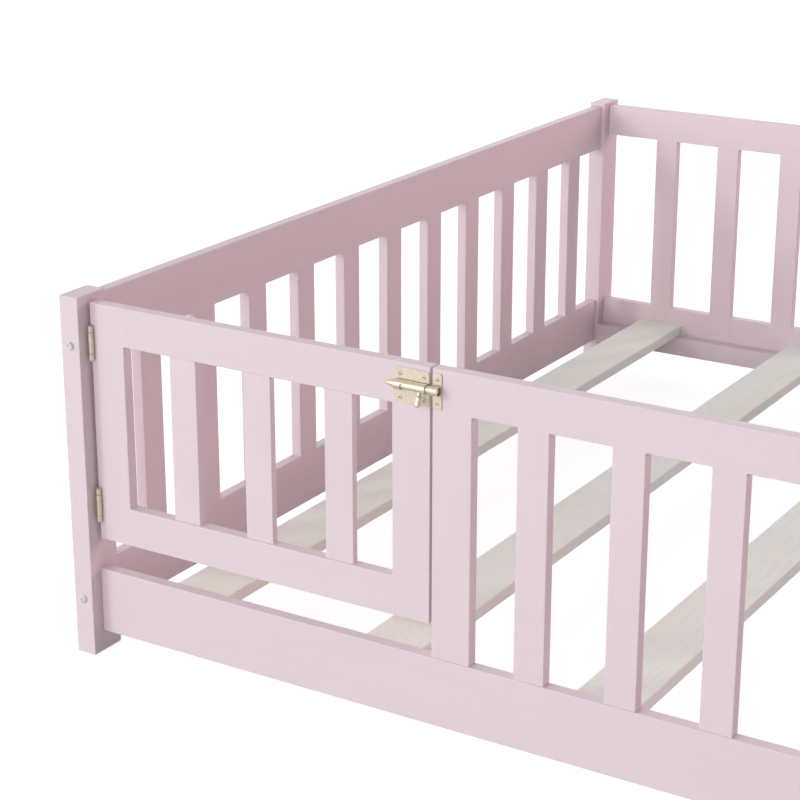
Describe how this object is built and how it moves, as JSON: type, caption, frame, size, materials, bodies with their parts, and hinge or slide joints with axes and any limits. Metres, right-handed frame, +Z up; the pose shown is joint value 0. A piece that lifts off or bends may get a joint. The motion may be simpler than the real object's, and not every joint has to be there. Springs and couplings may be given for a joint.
{
  "type": "toddler bed",
  "caption": "Low floor bed with a picket fence all round, a hinged front gate with a barrel latch, and raw pine slats.",
  "frame": {"origin": "bottom centre of the bed, on the floor midway between the four posts", "axes": "+X along the length of the bed, away from the gate end; +Y from the front fence with the gate to the back fence; +Z up"},
  "size_m": [1.9828, 1.4658, 0.47],
  "materials": {
    "painted_wood": "pale pink satin paint",
    "pine": "raw sanded pine",
    "brass_hardware": "pale polished brass plating",
    "bolt_steel": "satin champagne plating"
  },
  "bodies": {
    "bed_frame": {"post_front_left": "painted_wood", "post_front_right": "painted_wood", "post_rear_left": "painted_wood", "post_rear_right": "painted_wood", "end_fence_left": "painted_wood", "end_fence_right": "painted_wood", "back_fence": "painted_wood", "front_bottom_rail": "painted_wood", "front_fixed_fence": "painted_wood", "slat_cleat_front": "painted_wood", "slat_cleat_back": "painted_wood", "slat_1": "pine", "slat_2": "pine", "slat_3": "pine", "slat_4": "pine", "slat_5": "pine", "slat_6": "pine", "slat_7": "pine", "hinge_upper_post_leaf": "brass_hardware", "hinge_upper_pin": "brass_hardware", "hinge_lower_post_leaf": "brass_hardware", "hinge_lower_pin": "brass_hardware", "latch_keeper": "brass_hardware", "keeper_screw_1": "brass_hardware", "keeper_screw_2": "brass_hardware", "bolt_front_left_end_upper": "bolt_steel", "bolt_front_left_end_lower": "bolt_steel", "bolt_front_left_side_upper": "bolt_steel", "bolt_front_left_side_lower": "bolt_steel", "bolt_front_right_end_upper": "bolt_steel", "bolt_front_right_end_lower": "bolt_steel", "bolt_front_right_side_upper": "bolt_steel", "bolt_front_right_side_lower": "bolt_steel", "bolt_rear_left_end_upper": "bolt_steel", "bolt_rear_left_end_lower": "bolt_steel", "bolt_rear_left_side_upper": "bolt_steel", "bolt_rear_left_side_lower": "bolt_steel", "bolt_rear_right_end_upper": "bolt_steel", "bolt_rear_right_end_lower": "bolt_steel", "bolt_rear_right_side_upper": "bolt_steel", "bolt_rear_right_side_lower": "bolt_steel"},
    "gate": {"gate_hinge_stile": "painted_wood", "gate_latch_stile": "painted_wood", "gate_top_rail": "painted_wood", "gate_bottom_rail": "painted_wood", "gate_picket_1": "painted_wood", "gate_picket_2": "painted_wood", "gate_picket_3": "painted_wood", "hinge_upper_gate_leaf": "brass_hardware", "hinge_lower_gate_leaf": "brass_hardware", "latch_body": "brass_hardware", "latch_screw_1": "brass_hardware", "latch_screw_2": "brass_hardware", "latch_screw_3": "brass_hardware", "latch_screw_4": "brass_hardware"},
    "bolt": {"latch_bolt": "brass_hardware"},
    "knob": {"latch_knob": "brass_hardware"}
  },
  "joints": [
    {"name": "gate_swing", "type": "hinge", "parent": "bed_frame", "child": "gate", "pos_m": [-0.9543, -0.7153, 0.306], "axis": [0, 0, -1], "range_deg": [0, 120]},
    {"name": "latch_slide", "type": "slide", "parent": "gate", "child": "bolt", "axis": [-1, 0, 0], "range_m": [0, 0.021]},
    {"name": "latch_turn", "type": "hinge", "parent": "bolt", "child": "knob", "pos_m": [-0.4895, -0.71785, 0.437], "axis": [-1, 0, 0], "range_deg": [0, 35]}
  ]
}
